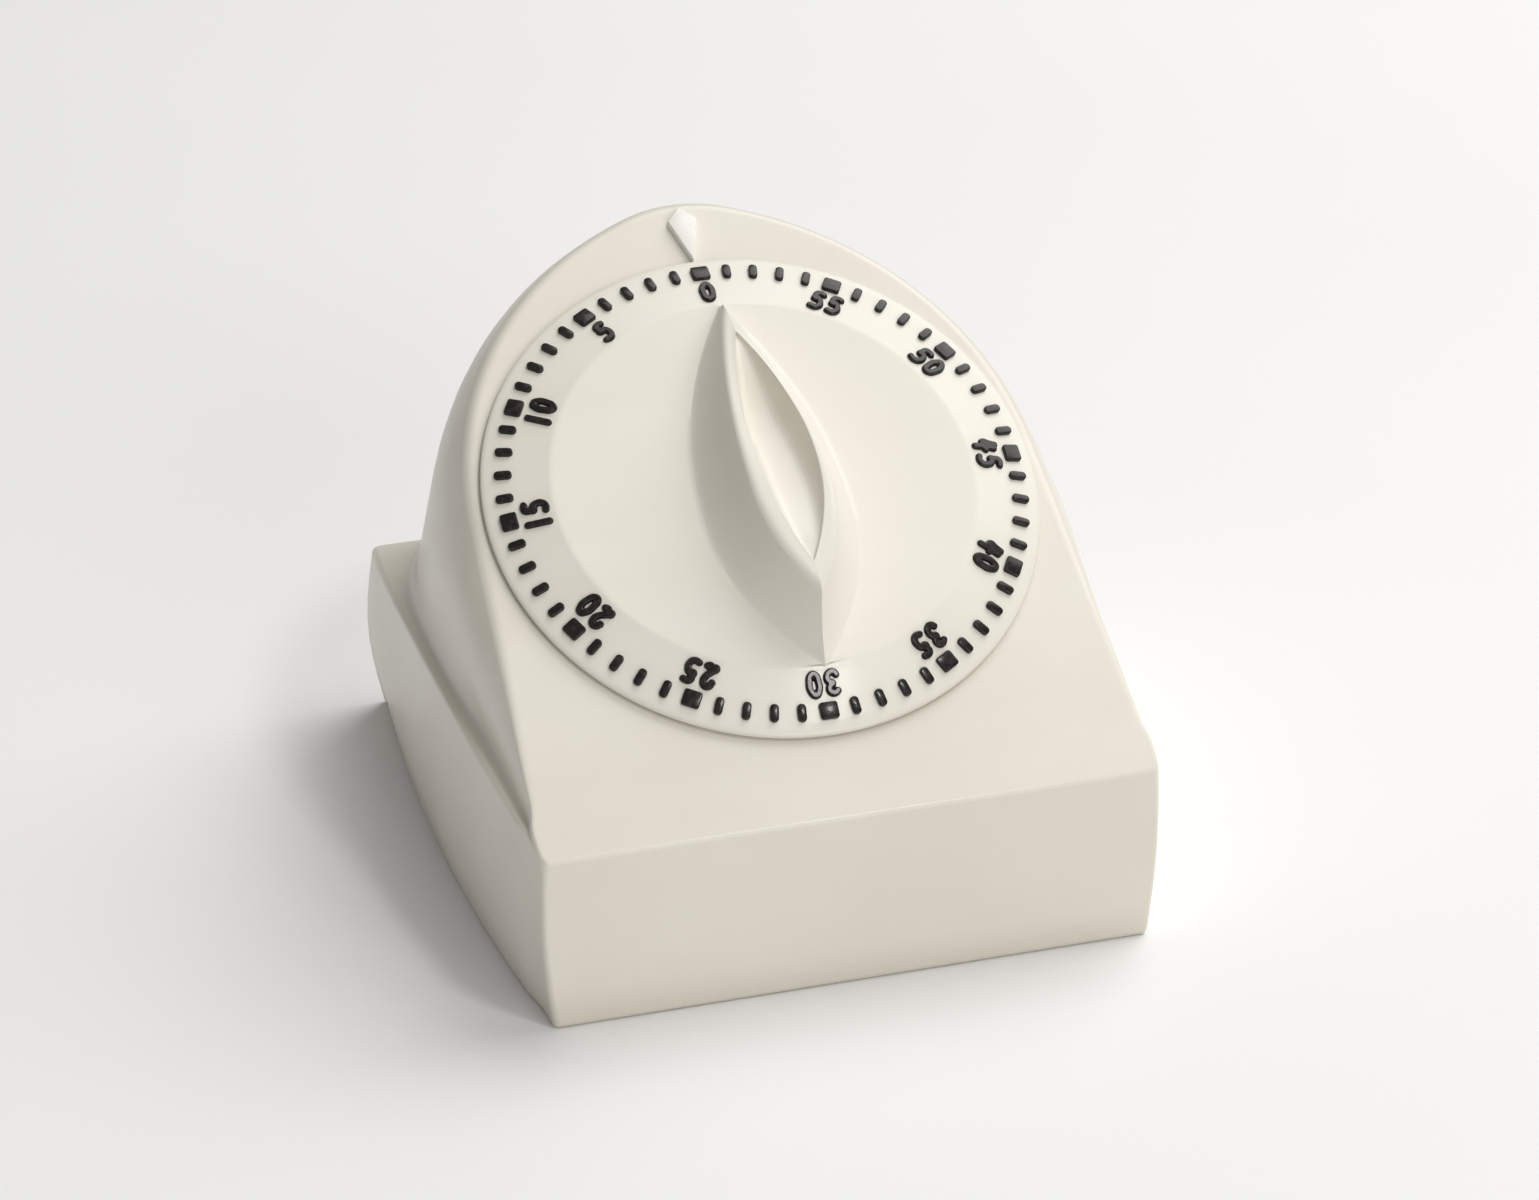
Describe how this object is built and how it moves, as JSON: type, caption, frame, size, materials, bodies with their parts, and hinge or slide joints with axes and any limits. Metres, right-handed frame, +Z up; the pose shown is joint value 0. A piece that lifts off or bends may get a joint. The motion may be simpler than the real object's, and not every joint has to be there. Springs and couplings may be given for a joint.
{
  "type": "kitchen timer",
  "caption": "Wind-up kitchen timer: sloping arch-topped case on a square base, large turning dial with a raised boat-shaped knob, gear train and bell inside.",
  "frame": {"origin": "middle of the case's footprint, on the surface it stands on", "axes": "+X to the right of someone facing the dial, +Y towards the back, +Z up"},
  "size_m": [0.0768, 0.08, 0.0653],
  "materials": {
    "ivory_case": "satin moulded",
    "ivory_dial": "satin moulded",
    "black_foil": "gloss hot-stamped",
    "white_pointer": "gloss",
    "zinc_plate": "zinc plated",
    "steel": "turned and polished",
    "brass": "stamped",
    "blued_spring": "blued spring steel",
    "bell_nickel": "nickel plated"
  },
  "bodies": {
    "case": {"housing": "ivory_case", "pointer": "white_pointer", "base_plate": "zinc_plate", "base_screws": "steel", "front_plate": "zinc_plate", "back_plate": "zinc_plate", "pillars": "steel", "pillar_nuts": "steel", "movement_screws": "steel", "plate_studs": "steel", "mainspring": "blued_spring", "hairspring": "blued_spring", "hammer_spring": "blued_spring", "bell_post": "steel", "bell": "bell_nickel", "bell_nut": "steel"},
    "dial_unit": {"dial": "ivory_dial", "minute_marks": "black_foil", "minute_numbers": "black_foil", "dial_arbor": "steel", "thrust_washer": "brass", "alarm_cam": "brass", "main_wheel": "brass", "ratchet_wheel": "steel", "click": "steel"},
    "second_unit": {"second_arbor": "steel", "second_wheel": "brass"},
    "third_unit": {"third_arbor": "steel", "third_wheel": "brass"},
    "escape_unit": {"escape_arbor": "steel", "escape_wheel": "brass"},
    "balance_unit": {"balance_staff": "steel", "balance_wheel": "brass"},
    "alarm_lever_unit": {"alarm_lever": "zinc_plate"},
    "hammer_unit": {"hammer_arbor": "steel", "hammer": "steel"}
  },
  "joints": [
    {"name": "dial_turn", "type": "hinge", "parent": "case", "child": "dial_unit", "pos_m": [0, -0.00421, 0.04346], "axis": [0, 0.5299, -0.848], "range_deg": [0, 354]},
    {"name": "second_spin", "type": "hinge", "parent": "case", "child": "second_unit", "pos_m": [-0.01353, -0.00839, 0.04085], "axis": [0, 0.5299, -0.848], "continuous": true},
    {"name": "third_spin", "type": "hinge", "parent": "case", "child": "third_unit", "pos_m": [-0.00579, -0.01777, 0.03499], "axis": [0, 0.5299, -0.848], "continuous": true},
    {"name": "escape_spin", "type": "hinge", "parent": "case", "child": "escape_unit", "pos_m": [0.00662, -0.01591, 0.03615], "axis": [0, 0.5299, -0.848], "continuous": true},
    {"name": "balance_swing", "type": "hinge", "parent": "case", "child": "balance_unit", "pos_m": [0.0141, -0.01479, 0.03685], "axis": [0, -0.5299, 0.848], "range_deg": [-60, 60], "stiffness_Nm_per_rad": 0.00001},
    {"name": "alarm_lever_lift", "type": "hinge", "parent": "case", "child": "alarm_lever_unit", "pos_m": [-0.0145, 0.00359, 0.04834], "axis": [0, -0.5299, 0.848], "range_deg": [0, 6]},
    {"name": "hammer_swing", "type": "hinge", "parent": "case", "child": "hammer_unit", "pos_m": [0.014, 0.00088, 0.04664], "axis": [0, -0.5299, 0.848], "range_deg": [-12, 1], "stiffness_Nm_per_rad": 0.02}
  ],
  "couplings": [
    {"joint": "second_spin", "follows": "dial_turn", "ratio": -7},
    {"joint": "third_spin", "follows": "dial_turn", "ratio": 45.5},
    {"joint": "escape_spin", "follows": "dial_turn", "ratio": -273}
  ]
}
